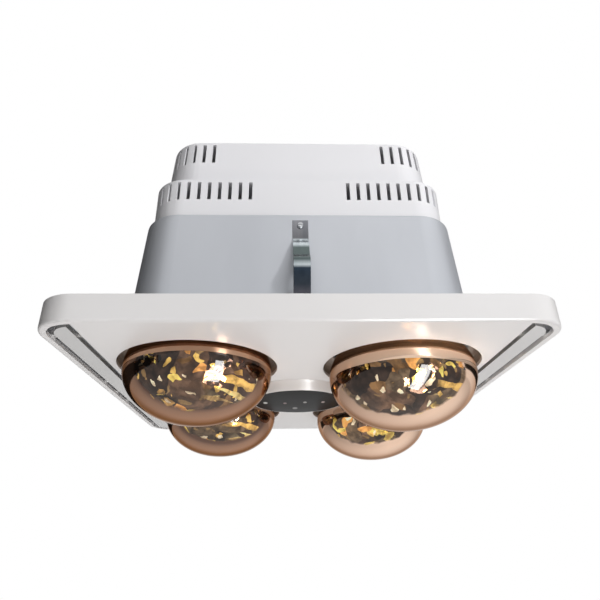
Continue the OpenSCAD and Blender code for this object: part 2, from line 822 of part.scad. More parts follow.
tier_open = upper_half - 20;
lower_vent_z = upper_z - tier_wall - 0.3 - lower_vent_h;
gland_r = 8;
gland_z = lower_z + 18;
module lower_tier() {
    color([0.9, 0.9, 0.93])
    difference() {
        union() {
            difference() {
                translate([0, 0, lower_z])
                    linear_extrude(lower_h)
                        rounded_square(lower_half, lower_corner_r);
                translate([0, 0, lower_z - 1])
                    linear_extrude(lower_h + 1 - tier_wall)
                        rounded_square(lower_half - tier_wall, lower_corner_r - tier_wall);
            }
            for (p = POSTS)
                translate([p.x, p.y, lower_z])
                    cylinder(r = 5, h = lower_h - 1, $fn = rough);
        }
        translate([0, 0, upper_z - tier_wall - 1])
            linear_extrude(tier_wall + 2)
                rounded_square(tier_open, lower_corner_r - 12);
        vents(lower_half, lower_corner_r, lower_vent_pitch, lower_vents, lower_vent_z, lower_vent_h,
            3 * tier_wall);
        translate([0, lower_half, gland_z])
            rotate([90, 0, 0])
                cylinder(r = gland_r + 0.1, h = 4 * tier_wall, center = true, $fn = fine);
        for (p = POSTS)
            translate([p.x, p.y, lower_z - 1])
                cylinder(r = screw_r, h = 11, $fn = rough);
        for (p = UPPER_POSTS)
            translate([p.x, p.y, upper_z - tier_wall - 1])
                cylinder(r = screw_r + screw_fit, h = tier_wall + 2, $fn = rough);
    }
}

upper_post_at = upper_half - tier_wall - 3;
UPPER_POSTS = [for (c = CORNERS) [c.x * (upper_half - upper_corner_r - 6), c.y * upper_post_at]];
upper_vent_z = top_z - tier_wall - 1.4 - upper_vent_h;
module upper_tier() {
    color([0.9, 0.9, 0.93])
    difference() {
        union() {
            difference() {
                leaning_block(upper_half, upper_corner_r, upper_z, top_z, upper_draft, 2);
                leaning_block(upper_half - tier_wall, upper_corner_r - tier_wall, upper_z - layer_t,
                    top_z - tier_wall, upper_draft, 1);
            }
            for (p = UPPER_POSTS)
                translate([p.x, p.y, upper_z])
                    cylinder(r = 4.5, h = 12, $fn = rough);
        }
        lean = upper_draft * (upper_vent_z + upper_vent_h / 2 - upper_z);
        vents(upper_half - lean, upper_corner_r - lean, upper_vent_pitch, upper_vents, upper_vent_z,
            upper_vent_h, 4 * tier_wall);
        for (p = UPPER_POSTS)
            translate([p.x, p.y, upper_z - 1])
                cylinder(r = screw_r, h = 9, $fn = rough);
    }
}

module tier_screws() {
    color("silver") {
        for (p = POSTS)
            translate([p.x, p.y, deck_z - tub_t])
                mirror([0, 0, 1])
                    screw(tub_t + 9);
        for (p = UPPER_POSTS)
            translate([p.x, p.y, upper_z - tier_wall])
                mirror([0, 0, 1])
                    screw(tier_wall + 7);
    }
}

// Spring straps: each is screwed to the tub by its foot and its leaf bows out to grip the ceiling
lean_angle = atan(tub_draft);
module on_wall() {
    translate([0, -(tub_half - tub_draft * strap_bend_z), strap_bend_z])
        rotate([-lean_angle, 0, 0])
            children();
}

// The leaf's line in its own plane: x is the distance from the wall and y the height from the bend
bend_r = 2;
crest_r = 7;
leaf_gap = 0.15;
slope_in = [strap_t / 2 + 0.05, 0];
crest = [bow_out, -bow_drop];
tail = [tail_out, -tail_drop];
leaf_line = concat(
    curve([slope_in, slope_in + [0.3, -2], slope_in + [2.6, -4.5], slope_in + [5, -8]], 5),
    curve([crest + [-crest_r, crest_r + 1.5], crest + [-2, 3.6], crest + [0, 1], crest + [0, -2]], 6),
    curve([crest + [0, -4], crest + [-0.6, -12], tail + [3, 14], tail], 6)
);

module spring_leaf(angle) {
    color([0.45, 0.5, 0.56])
    rotate([0, 0, angle])
        on_wall()
            rotate([90, 0, -90])
                translate([0, 0, -strap_w / 2])
                    union() {
                        linear_extrude(strap_w)
                            polygon(strip(leaf_line, strap_t));
                        translate([slope_in.x, slope_in.y, 0])
                            cylinder(r = strap_t / 2, h = strap_w, $fn = 24);
                    }
}

module spring_feet() {
    color([0.55, 0.6, 0.66])
    for (a = [0:90:270])
        rotate([0, 0, a])
            on_wall()
                difference() {
                    translate([-strap_w / 2, -strap_t - 0.02, strap_t / 2 + leaf_gap])
                        cube([strap_w, strap_t, foot_h]);
                    translate([0, 0, foot_h / 2 + 4])
                        rotate([90, 0, 0])
                            cylinder(r = screw_r + screw_fit, h = 6, center = true, $fn = rough);
                }
}

module spring_screws() {
    color("silver")
    for (a = [0:90:270])
        rotate([0, 0, a])
            on_wall()
                translate([0, -strap_t - 0.02, foot_h / 2 + 4])
                    rotate([90, 0, 0])
                        screw(strap_t + tub_t + 3);
}

// Fan: inlet ring on the deck, bladed impeller on the motor's shaft
inlet_screw_at = inlet_r + inlet_flange - 4;
inlet_mid = inlet_r + inlet_t / 2;
inlet_low = deck_z + inlet_t / 2;
inlet_line = concat(
    [[inlet_r + inlet_flange, inlet_low], [inlet_r + inlet_flange - 4, inlet_low]],
    curve([[inlet_mid + 6, inlet_low], [inlet_mid + 2, inlet_low],
        [inlet_mid, inlet_low + 2], [inlet_mid, inlet_low + 6]], 6),
    [[inlet_mid, deck_z + inlet_rise]]
);
module inlet_ring() {
    color("dimgray")
    difference() {
        rotate_extrude($fn = fine)
            polygon(strip(inlet_line, inlet_t));
        for (a = [45:90:315])
            rotate([0, 0, a])
                translate([inlet_screw_at, 0, deck_z - 1])
                    cylinder(r = screw_r + screw_fit, h = 5, $fn = rough);
    }
}

module impeller() {
    blade_chord = impeller_r - blade_inner_r;
    color("whitesmoke") {
        difference() {
            union() {
                translate([0, 0, back_plate_z])
                    cylinder(r = impeller_r, h = shroud_t, $fn = fine);
                translate([0, 0, hub_top_z - hub_h])
                    cylinder(r = hub_r, h = hub_h, $fn = fine);
                translate([0, 0, impeller_z])
                    difference() {
                        cylinder(r = impeller_r, h = shroud_t, $fn = fine);
                        translate([0, 0, -1])
                            cylinder(r = blade_inner_r - 1, h = shroud_t + 2, $fn = fine);
                    }
                for (k = [0:blade_count - 1])
                    rotate([0, 0, 360 * k / blade_count])
                        translate([blade_inner_r + blade_chord / 2, 0, impeller_z + shroud_t / 2])
                            rotate([0, 0, 35])
                                translate([-blade_chord / 2, -blade_t / 2, 0])
                                    cube([blade_chord, blade_t, blade_h + shroud_t]);
            }
            translate([0, 0, impeller_z])
                cylinder(r = shaft_r + run_fit, h = 2 * blade_h, $fn = fine);
        }
    }
}

nut_h = 4;
shaft_end_z = hub_top_z - hub_h - nut_h - 2;
module impeller_nut() {
    color("silver")
    translate([0, 0, hub_top_z - hub_h - nut_h])
        difference() {
            cylinder(r = 7, h = nut_h, $fn = 6);
            translate([0, 0, -1])
                cylinder(r = shaft_r + run_fit, h = nut_h + 2, $fn = fine);
        }
}

// Motor: shaft, rotor, bushes, stator with its windings, can, end plate, bracket
module motor_shaft() {
    color("silver")
    translate([0, 0, shaft_end_z])
        cylinder(r = shaft_r, h = motor_z + motor_h - can_t - 1 - shaft_end_z, $fn = fine);
}

module rotor() {
    color("dimgray")
    translate([0, 0, stator_z + 0.5])
        difference() {
            cylinder(r = rotor_r, h = stator_h - 1, $fn = fine);
            translate([0, 0, -1])
                cylinder(r = shaft_r + run_fit, h = stator_h + 2, $fn = fine);
        }
}

module motor_bushes() {
    color("darkgoldenrod")
    for (z = [motor_z, motor_z + motor_h - can_t - bush_low])
        translate([0, 0, z])
            difference() {
                cylinder(r = bush_r, h = bush_low, $fn = fine);
                translate([0, 0, -1])
                    cylinder(r = shaft_r + run_fit, h = bush_low + 2, $fn = fine);
            }
}

bush_low = (motor_h - can_t - stator_h) / 2 - 0.8;
winding_h = 1.6;
module stator() {
    color("chocolate")
    difference() {
        union() {
            translate([0, 0, stator_z])
                cylinder(r = motor_r - can_t - 0.1, h = stator_h, $fn = fine);
            translate([0, 0, stator_z - winding_h])
                cylinder(r = motor_r - 7, h = stator_h + 2 * winding_h, $fn = fine);
        }
        translate([0, 0, stator_z - winding_h - 1])
            cylinder(r = rotor_r + air_gap, h = stator_h + 2 * winding_h + 2, $fn = fine);
    }
}

motor_screw_at = motor_r + 5;
motor_ear_r = 5;
MOTOR_SCREWS = [for (a = [0:90:270]) motor_screw_at * [cos(a), sin(a)]];
module motor_can() {
    color("gray")
    difference() {
        union() {
            translate([0, 0, motor_z])
                cylinder(r = motor_r, h = motor_h, $fn = fine);
            for (p = MOTOR_SCREWS)
                translate([p.x, p.y, motor_z])
                    cylinder(r = motor_ear_r, h = can_t, $fn = rough);
            for (a = [0:90:270])
                rotate([0, 0, a])
                    translate([motor_r - 1, -motor_ear_r, motor_z])
                        cube([motor_screw_at - motor_r + 1, 2 * motor_ear_r, can_t]);
        }
        translate([0, 0, motor_z - 1])
            cylinder(r = motor_r - can_t, h = motor_h + 1 - can_t, $fn = fine);
        for (p = MOTOR_SCREWS)
            translate([p.x, p.y, motor_z - 1])
                cylinder(r = screw_r + screw_fit, h = 4, $fn = rough);
    }
}

module motor_screws() {
    color("silver")
    for (p = MOTOR_SCREWS)
        translate([p.x, p.y, motor_z + can_t])
            screw(can_t + bracket_t + 1);
}

module motor_plate() {
    color("gray")
    difference() {
        union() {
            translate([0, 0, motor_z])
                cylinder(r = motor_r - can_t - 0.05, h = end_plate_t, $fn = fine);
        }
        translate([0, 0, motor_z - 1])
            cylinder(r = bush_r + 0.05, h = end_plate_t + 2, $fn = fine);
    }
}

bracket_foot = 12;
bracket_plate_r = bracket_leg_r + 1;
BRIDGE_SCREWS = [for (side = [-1, 1]) for (y = BRIDGE_FEET) for (s = [-1, 1])
    [side * lamp_at + s * bridge_w / 4, y]];
bracket_screw_at = bracket_leg_r + bridge_t + 1 + bracket_foot / 2;
BRACKET_SCREWS = [for (a = [45:90:315]) bracket_screw_at * [cos(a), sin(a)]];
INLET_SCREWS = [for (a = [45:90:315]) inlet_screw_at * [cos(a), sin(a)]];
DECK_SCREWS = concat(BRIDGE_SCREWS, BRACKET_SCREWS, INLET_SCREWS);
module motor_bracket() {
    leg_h = bracket_z + bracket_t - deck_z;
    color("lightsteelblue")
    difference() {
        union() {
            translate([0, 0, bracket_z])
                cylinder(r = motor_screw_at + motor_ear_r, h = bracket_t, $fn = fine);
            for (a = [45:90:315])
                rotate([0, 0, a]) {
                    translate([motor_r - 4, -bracket_leg_w / 2, bracket_z])
                        cube([bracket_leg_r - motor_r + 5, bracket_leg_w, bracket_t]);
                    translate([bracket_leg_r, -bracket_leg_w / 2, deck_z])
                        cube([bracket_t, bracket_leg_w, leg_h]);
                    translate([bracket_leg_r, -bracket_leg_w / 2, deck_z])
                        cube([bracket_foot + bracket_t, bracket_leg_w, bracket_t]);
                }
        }
        translate([0, 0, bracket_z - 1])
            cylinder(r = hub_r + 4, h = bracket_t + 2, $fn = fine);
        for (p = DECK_SCREWS)
            translate([p.x, p.y, deck_z - 1])
                cylinder(r = screw_r + screw_fit, h = 5, $fn = rough);
        for (p = MOTOR_SCREWS)
            translate([p.x, p.y, bracket_z - 1])
                cylinder(r = screw_r + screw_fit, h = 4, $fn = rough);
    }
}

// Electrics on the deck: control board, relays, terminal block, cut-out, gland and wiring
board_len = 100;
board_wide = 44;
board_gap = 18;
board_stand = 7;
board_y = -(impeller_r + board_gap + board_wide / 2);
control_z = deck_z + board_stand;
module control_board() {
    color("darkgreen") {
        translate([0, board_y, control_z + board_t / 2])
            cube([board_len, board_wide, board_t], center = true);
        for (c = CORNERS)
            translate([c.x * (board_len / 2 - 5), board_y + c.y * (board_wide / 2 - 5), deck_z])
                cylinder(r = 3, h = control_z - deck_z + layer_t, $fn = rough);
    }
}

relay = [19, 15.5, 15];
relay_back = 8;
capacitor_r = 8;
capacitor_h = 22;
module relays() {
    color("royalblue") {
        for (k = [-1.5:1:0.5])
            translate([k * (relay.x + relay_back / 2), board_y - relay_back, control_z + board_t])
                translate([0, 0, relay.z / 2])
                    cube(relay, center = true);
        translate([board_len / 2 - capacitor_r - 6, board_y + relay_back / 4, control_z + board_t])
            cylinder(r = capacitor_r, h = capacitor_h, $fn = fine);
    }
}

block = [64, 20, 16];
block_y = lower_half - tier_wall - 34;
module terminal_block() {
    color("ivory")
    difference() {
        translate([0, block_y, deck_z + block.z / 2])
            cube(block, center = true);
        for (k = [-2:2])
            translate([k * 12, block_y, deck_z + block.z - 5])
                cylinder(r = 3, h = 6, $fn = rough);
        for (k = [-2:2])
            translate([k * 12, block_y, deck_z + 6])
                rotate([90, 0, 0])
                    cylinder(r = 2, h = block.y + 2, center = true, $fn = rough);
    }
}

cutout_r = 5.5;
cutout_h = 5;
tab_h = 6;
tab_t = 0.8;
module thermal_cutout() {
    color("darkslategray")
    for (side = [-1, 1])
        translate([side * (inlet_r + inlet_flange + cutout_r + inlet_t), 0, deck_z])
            union() {
                cylinder(r = cutout_r, h = cutout_h, $fn = fine);
                for (s = [-1, 1])
                    translate([-tab_t, (s * cutout_r - tab_t) / 2, cutout_h - layer_t])
                        cube([2 * tab_t, tab_t, tab_h]);
            }
}

cable_r = 4;
gland_out = 16;
gland_in = 9;
module cable_gland() {
    color("dimgray")
    translate([0, lower_half, gland_z])
        rotate([-90, 0, 0])
            difference() {
                union() {
                    translate([0, 0, -tier_wall - gland_in])
                        cylinder(r = gland_r, h = tier_wall + gland_in + layer_t, $fn = fine);
                    translate([0, 0, -tier_wall - 5])
                        cylinder(r = gland_r + 3, h = 5, $fn = 6);
                    cylinder(r = gland_r + 3, h = 5, $fn = 6);
                    translate([0, 0, 5 - layer_t])
                        cylinder(r1 = gland_r + 1.5, r2 = gland_r - 1.5, h = gland_out - 5, $fn = fine);
                }
                translate([0, 0, -30])
                    cylinder(r = cable_r, h = 60, $fn = fine);
            }
}

// Wires: round tubes swept along points chosen by hand, from the board and block to the pieces they feed
wire_r = 1.3;
wire_sides = 8;
function direction(p, i) = unit(p[min(i + 1, len(p) - 1)] - p[max(i - 1, 0)]);
function ring_at(p, i, r) =
    let (d = direction(p, i), u = unit(cross(d, [0.3, 0.2, 0.93])), v = cross(d, u))
        [for (k = [0:wire_sides - 1])
            p[i] + r * (u * cos(360 * k / wire_sides) + v * sin(360 * k / wire_sides))];

module wire(p) {
    n = len(p);
    points = [for (i = [0:n - 1]) each ring_at(p, i, wire_r)];
    walls = [for (i = [0:n - 2]) for (k = [0:wire_sides - 1])
        let (a = i * wire_sides + k, b = i * wire_sides + (k + 1) % wire_sides)
            each [[a, b, b + wire_sides], [a, b + wire_sides, a + wire_sides]]];
    start = [for (k = [1:wire_sides - 2]) [0, k + 1, k]];
    last = (n - 1) * wire_sides;
    finish = [for (k = [1:wire_sides - 2]) [last, last + k, last + k + 1]];
    polyhedron(points, concat(walls, start, finish));
}

// Each side has one lead to the front lampholder and one, past the cut-out, to the back one
module wiring() {
    low = deck_z + 3;
    on_board = control_z + board_t;
    holder_side = lamp_at - holder_r - wire_r - 0.2;
    above = on_board + wire_r + 0.2;
    board_edge = board_len / 2;
    passing = inlet_r;
    over = cutout_h + tab_h + 4;
    color("firebrick")
    for (s = [-1, 1]) {
        wire([
            [s * (board_edge - 4), board_y - relay_back, above],
            [s * (board_edge + 4), board_y - relay_back, above + 0.5],
            [s * (holder_side - 6.5), board_y - 6, low + 3],
            [s * (holder_side - 3.5), -lamp_at, low + 2],
            [s * holder_side, -lamp_at + 6, low + 3],
            [s * holder_side, -lamp_at + 8, holder_top_z - 2]
        ]);
        wire([
            [s * (board_edge - 4), board_y + 14, above],
            [s * (board_edge + 5), board_y + 14, above],
            [s * (holder_side - 2.5), board_y + 24, low],
            [s * (holder_side + 0.5), -passing, low],
            [s * (holder_side + 1.5), -2 * cutout_r, deck_z + over],
            [s * (holder_side + 1.5), 2 * cutout_r, deck_z + over],
            [s * (holder_side + 0.5), passing, low],
            [s * holder_side, lamp_at - 12, low + 3],
            [s * holder_side, lamp_at - 8, holder_top_z - 2]
        ]);
    }
}

fascia();
slot_cover(-1);  // slot_cover_left
slot_cover(1);  // slot_cover_right
cover_screws();
window_bezel();
window_lens();
receiver_board();
receiver_cover();
receiver_screws();
lamp_cup(0);  // lamp_cup_front_left
lamp_cup(1);  // lamp_cup_front_right
lamp_cup(2);  // lamp_cup_back_left
lamp_cup(3);  // lamp_cup_back_right
cup_screws();
lamp_glass(0);  // lamp_glass_front_left
lamp_glass(1);  // lamp_glass_front_right
lamp_glass(2);  // lamp_glass_back_left
lamp_glass(3);  // lamp_glass_back_right
lamp_filament(0);  // lamp_filament_front_left
lamp_filament(1);  // lamp_filament_front_right
lamp_filament(2);  // lamp_filament_back_left
lamp_filament(3);  // lamp_filament_back_right
lamp_cap(0);  // lamp_cap_front_left
lamp_cap(1);  // lamp_cap_front_right
lamp_cap(2);  // lamp_cap_back_left
lamp_cap(3);  // lamp_cap_back_right
lamp_holders();
socket_contacts();
holder_bridge(-1);  // holder_bridge_left
holder_bridge(1);  // holder_bridge_right
holder_screws();
deck_screws();
tub();
flange_screws();
lower_tier();
upper_tier();
tier_screws();
spring_feet();
spring_screws();
spring_leaf(0);  // spring_leaf_front
spring_leaf(180);  // spring_leaf_back
spring_leaf(270);  // spring_leaf_left
spring_leaf(90);  // spring_leaf_right
inlet_ring();
impeller();
impeller_nut();
motor_shaft();
rotor();
motor_bushes();
stator();
motor_can();
motor_plate();
motor_bracket();
motor_screws();
control_board();
relays();
terminal_block();
thermal_cutout();
cable_gland();
wiring();
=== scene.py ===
import math

import bmesh
import bpy
from mathutils import Matrix, Vector


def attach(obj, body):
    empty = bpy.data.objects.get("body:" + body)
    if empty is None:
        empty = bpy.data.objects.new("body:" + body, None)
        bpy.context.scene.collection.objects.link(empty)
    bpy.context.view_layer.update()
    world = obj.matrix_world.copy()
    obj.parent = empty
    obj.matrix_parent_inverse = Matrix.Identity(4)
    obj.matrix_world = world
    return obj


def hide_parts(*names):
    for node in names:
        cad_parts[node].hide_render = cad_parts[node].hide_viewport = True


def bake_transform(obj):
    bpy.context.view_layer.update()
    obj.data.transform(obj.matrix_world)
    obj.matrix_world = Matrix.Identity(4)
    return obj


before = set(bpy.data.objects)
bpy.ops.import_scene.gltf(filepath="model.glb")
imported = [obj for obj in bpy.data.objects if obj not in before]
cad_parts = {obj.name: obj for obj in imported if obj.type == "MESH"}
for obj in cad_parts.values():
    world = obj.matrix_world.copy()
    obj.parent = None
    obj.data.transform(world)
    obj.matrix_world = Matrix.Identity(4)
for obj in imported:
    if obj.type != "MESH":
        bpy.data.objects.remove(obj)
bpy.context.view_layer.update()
scene = bpy.context.scene
scene.view_settings.view_transform = "Standard"


# Camera: it stands in front of the heater, below the ceiling, and looks up at it.
eye = bpy.data.cameras.new("eye")
eye.lens = 29.958
eye.sensor_width = 36
camera = bpy.data.objects.new("camera", eye)
camera.location = (-0.014303, -0.503366, -0.152982)
camera.rotation_euler = [math.radians(a) for a in (115.2576, 0.8257, -1.6605)]
scene.collection.objects.link(camera)
scene.camera = camera


# Room: white to the eye, to metal and to glass, with a dimmer even fill on surfaces. The floor is a
# plain pale sheet well below the heater, which hangs as it does in a ceiling.
fill = 0.14
floor_z, floor_r = -0.9, 6
floor_glow = 0.6


def add_node(tree, kind, inputs=None, **settings):
    """A new node, with its inputs set to values or joined to other nodes' sockets."""
    node = tree.nodes.new(kind)
    for key, value in settings.items():
        setattr(node, key, value)
    for key, value in (inputs or {}).items():
        if isinstance(value, bpy.types.NodeSocket):
            tree.links.new(value, node.inputs[key])
        else:
            node.inputs[key].default_value = value
    return node


def number(tree, operation, *values, **settings):
    """What a Math node makes of up to three numbers."""
    return add_node(tree, "ShaderNodeMath", dict(enumerate(values)), operation=operation,
                    **settings).outputs[0]


def bare_material(name):
    """A new material that holds no nodes, and its node tree."""
    material = bpy.data.materials.new(name)
    material.use_nodes = True
    material.node_tree.nodes.clear()
    return material, material.node_tree


def studio_piece(name, shape, material):
    """Makes a piece of the studio, which is no part of the heater, of a bmesh."""
    mesh = bpy.data.meshes.new(name)
    shape.to_mesh(mesh)
    mesh.materials.append(material)
    piece = bpy.data.objects.new(name, mesh)
    scene.collection.objects.link(piece)
    return piece


world = bpy.data.worlds.new("room")
scene.world = world
world.use_nodes = True
room = world.node_tree
room.nodes.clear()
rays = add_node(room, "ShaderNodeLightPath").outputs
seen = number(room, "ADD", rays["Is Camera Ray"], rays["Is Glossy Ray"])
shown = number(room, "ADD", seen, rays["Is Transmission Ray"], use_clamp=True)
soft = add_node(room, "ShaderNodeBackground", {"Color": (1, 0.985, 0.97, 1), "Strength": fill})
white = add_node(room, "ShaderNodeBackground", {"Color": (1, 1, 1, 1), "Strength": 1.0})
both = add_node(room, "ShaderNodeMixShader", {0: shown, 1: soft.outputs[0], 2: white.outputs[0]})
add_node(room, "ShaderNodeOutputWorld", {"Surface": both.outputs[0]})

paper, tree = bare_material("pale_paper")
rays = add_node(tree, "ShaderNodeLightPath").outputs
seen = number(tree, "ADD", rays["Is Camera Ray"], rays["Is Glossy Ray"])
lift = number(tree, "MULTIPLY", seen, floor_glow)
lit = add_node(tree, "ShaderNodeBsdfDiffuse", {"Color": (0.86, 0.855, 0.85, 1)})
glow = add_node(tree, "ShaderNodeEmission", {"Color": (1, 1, 1, 1), "Strength": lift})
total = add_node(tree, "ShaderNodeAddShader", {0: lit.outputs[0], 1: glow.outputs[0]})
add_node(tree, "ShaderNodeOutputMaterial", {"Surface": total.outputs[0]})
sheet = bmesh.new()
bmesh.ops.create_circle(sheet, cap_ends=True, segments=96, radius=floor_r)
studio_piece("floor", sheet, paper).location.z = floor_z


# Lights: a window to the front right throws the straps' shadows, a broad soft light fills the front, and
# weaker ones stand low and behind. Only the strip below shows in glossy surfaces.
def soft_light(name, place, target, size, power, tint=(1, 1, 1)):
    """A soft light of that width and height at a place, turned towards its target."""
    lamp = bpy.data.lights.new(name, "AREA")
    lamp.shape = "RECTANGLE"
    lamp.size, lamp.size_y = size
    lamp.energy = power
    lamp.color = tint
    holder = bpy.data.objects.new(name, lamp)
    holder.location = place
    way = Vector(target) - Vector(place)
    holder.rotation_euler = way.to_track_quat("-Z", "Y").to_euler()
    scene.collection.objects.link(holder)
    return holder


middle = (0, 0, 0.05)
broad = [
    soft_light("window_light", (1.15, -1.45, 0.8), middle, (0.16, 0.16), 12),
    soft_light("key_light", (0.95, -1.55, 1.0), middle, (1.2, 1.2), 17, (1, 0.995, 0.995)),
    soft_light("low_light", (0.05, -0.35, -0.86), (0, 0, 0), (0.9, 0.7), 4.5, (1, 0.97, 0.95)),
    soft_light("back_light", (0.4, 1.5, 0.9), middle, (1.2, 1.2), 18),
]
for lamp in broad:
    lamp.visible_glossy = False
strip = soft_light("strip_light", (0.2, -0.42, -0.3), (0, -0.08, -0.04), (0.12, 0.46), 4.5)
strip.visible_diffuse = False
strip.visible_camera = False

# Dark cards stand out of sight to the left and the right, so that the corners turn away into shade.
felt, tree = bare_material("felt")
nap = add_node(tree, "ShaderNodeBsdfDiffuse", {"Color": (0.05, 0.05, 0.05, 1)})
add_node(tree, "ShaderNodeOutputMaterial", {"Surface": nap.outputs[0]})
for side, half, place, target in (("left", 0.70, (-0.55, 0.20, 0.57), (0, 0.20, 0.57)),
                                  ("right", 0.45, (0.75, 0.3, 0.45), (0, 0.1, 0.2))):
    square = bmesh.new()
    bmesh.ops.create_grid(square, x_segments=1, y_segments=1, size=half)
    card = studio_piece("card_" + side, square, felt)
    card.location = place
    card.rotation_euler = (Vector(target) - Vector(place)).to_track_quat("Z", "Y").to_euler()
    card.visible_camera = False


# Fascia: a white plate with a rim, moulded in one piece in a heat-resistant plastic. Its face has a
# fine grain from the mould, its edges are softly rounded, and it carries everything below the ceiling.
def ramp(tree, factor, stops, interpolation="LINEAR"):
    """A colour ramp through (position, (r, g, b)) stops."""
    node = add_node(tree, "ShaderNodeValToRGB", {"Fac": factor})
    node.color_ramp.interpolation = interpolation
    points = node.color_ramp.elements
    while len(points) < len(stops):
        points.new(0.5)
    for point, (position, colour) in zip(points, stops):
        point.position = position
        point.color = (*colour, 1)
    return node.outputs["Color"]


def ranged(tree, value, low, high, first=0.0, last=1.0):
    """A number that runs from first to last while a value goes from low to high."""
    return add_node(tree, "ShaderNodeMapRange", {"Value": value, "From Min": low, "From Max": high,
                                                 "To Min": first, "To Max": last}).outputs[0]


def noise(tree, vector, scale, detail=2.0):
    """A noise pattern's sockets: its value comes first, and Color holds three of them."""
    return add_node(tree, "ShaderNodeTexNoise", {"Vector": vector, "Scale": scale, "Detail": detail}).outputs


def raised(tree, height, distance, strength=1.0):
    """A relief that stands that many metres high where the height is 1."""
    return add_node(tree, "ShaderNodeBump", {"Height": height, "Strength": strength,
                                             "Distance": distance}).outputs[0]


def finish(tree, sockets):
    """Ends a material in one Principled shader, under the name finish."""
    shader = add_node(tree, "ShaderNodeBsdfPrincipled", sockets)
    shader.name = "finish"
    add_node(tree, "ShaderNodeOutputMaterial", {"Surface": shader.outputs[0]})


def surface(name, stops, gloss, metallic=0.0, spread=8.0, grain=900.0, relief=0.00002, stretch=(1, 1, 1),
            detail=4.0, **sockets):
    """A material: its colour drifts over the piece through the stops, its roughness runs between the two
    values of gloss, and a fine grain stands relief metres high."""
    material, tree = bare_material(name)
    place = add_node(tree, "ShaderNodeTexCoord").outputs["Object"]
    run = add_node(tree, "ShaderNodeMapping", {"Vector": place, "Scale": stretch}).outputs[0]
    drift = noise(tree, run, spread, detail)[0]
    fine = noise(tree, run, grain)[0]
    finish(tree, {"Base Color": ramp(tree, drift, stops), "Roughness": ranged(tree, drift, 0.3, 0.7, *gloss),
                  "Metallic": metallic, "Normal": raised(tree, fine, relief), **sockets})
    return material


def finished(shape, name, material, body="housing", replaces=(), crease=32):
    """Makes an object of a bmesh, shades it smooth up to its creases, and hangs it on its body."""
    for face in shape.faces:
        face.smooth = True
    for edge in shape.edges:
        edge.smooth = len(edge.link_faces) == 2 and edge.calc_face_angle(0) < math.radians(crease)
    mesh = bpy.data.meshes.new(name)
    shape.to_mesh(mesh)
    shape.free()
    if "custom_normal" in mesh.attributes:
        mesh.attributes.remove(mesh.attributes["custom_normal"])
    mesh.materials.clear()
    mesh.materials.append(material)
    piece = bpy.data.objects.new(name, mesh)
    scene.collection.objects.link(piece)
    if body:
        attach(piece, body)
    if replaces:
        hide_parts(*replaces)
    return piece


def merged(node, gap=2e-6, flat=0.4):
    """A bmesh with a copy of a solid, its triangles joined and its flat faces made whole."""
    shape = bmesh.new()
    shape.from_mesh(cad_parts[node].data)
    bmesh.ops.remove_doubles(shape, verts=shape.verts, dist=gap)
    bmesh.ops.dissolve_limit(shape, angle_limit=math.radians(flat), verts=shape.verts, edges=shape.edges)
    return shape


def soften(piece, width, angle=38, segments=2):
    """Rounds off a piece's edges a little, as moulds and presses leave them."""
    edge = piece.modifiers.new("edge", "BEVEL")
    edge.width = width
    edge.segments = segments
    edge.limit_method = "ANGLE"
    edge.angle_limit = math.radians(angle)
    even = piece.modifiers.new("even", "WEIGHTED_NORMAL")
    even.keep_sharp = True


def dressed(node, material, body="housing", width=0.0004, crease=32):
    """A copy of one solid, which stands for it, with its edges softened to that width."""
    piece = finished(merged(node), node + "_finish", material, body, [node], crease)
    if width:
        soften(piece, width)


fascia_plastic = surface("fascia_plastic", [(0.3, (0.83, 0.82, 0.82)), (0.7, (0.87, 0.86, 0.86))],
                         (0.285, 0.33), spread=5, grain=1500, relief=0.000012)
dressed("fascia", fascia_plastic, width=0.0007)


# Slot covers: strips in a silver finish that fill the air slots along both sides but for a gap all round.
# Each is moulded with cross bars on its back, which are screwed to the plate.
cover_plastic = surface("cover_plastic", [(0.3, (0.56, 0.555, 0.55)), (0.7, (0.62, 0.615, 0.61))],
                        (0.29, 0.35), metallic=0.65, spread=7, grain=1200, relief=0.00002)
for side in ("left", "right"):
    dressed("slot_cover_" + side, cover_plastic)


# Screws: zinc-plated steel pan heads with one slot, the same kind throughout. They hold the covers, the
# cups, the lampholders, the tub, the tiers, the straps and the motor.
screw_zinc = surface("screw_zinc", [(0.3, (0.50, 0.51, 0.53)), (0.7, (0.68, 0.69, 0.70))], (0.29, 0.4),
                     metallic=1.0, spread=160, grain=2600, relief=0.00001)
for node in ("cover_screws", "receiver_screws", "cup_screws", "holder_screws", "deck_screws", "flange_screws",
             "tier_screws", "spring_screws", "motor_screws"):
    dressed(node, screw_zinc, width=0.0001)


# Window: a smoked disc in a soft white ring, clipped into the fascia's middle. Behind it sit the
# indicator lights and the remote control's eye, on a small board under a grey cover.
ring_plastic = surface("ring_plastic", [(0.3, (0.80, 0.79, 0.78)), (0.7, (0.85, 0.84, 0.83))], (0.285, 0.33),
                       spread=12, grain=1500, relief=0.00001)
dressed("window_bezel", ring_plastic, width=0.0002)


def mixed(tree, share, first, second, blend_type="MIX"):
    """A colour that turns from the first into the second, or into a blend of both, as the share rises."""
    return add_node(tree, "ShaderNodeMix", {0: share, 6: first, 7: second}, data_type="RGBA",
                    blend_type=blend_type).outputs[2]


def arrow(tree, operation, *values):
    """What a Vector Math node makes of up to three vectors: a vector, or a length."""
    done = add_node(tree, "ShaderNodeVectorMath", dict(enumerate(values)), operation=operation).outputs
    return done["Value" if operation == "LENGTH" else "Vector"]


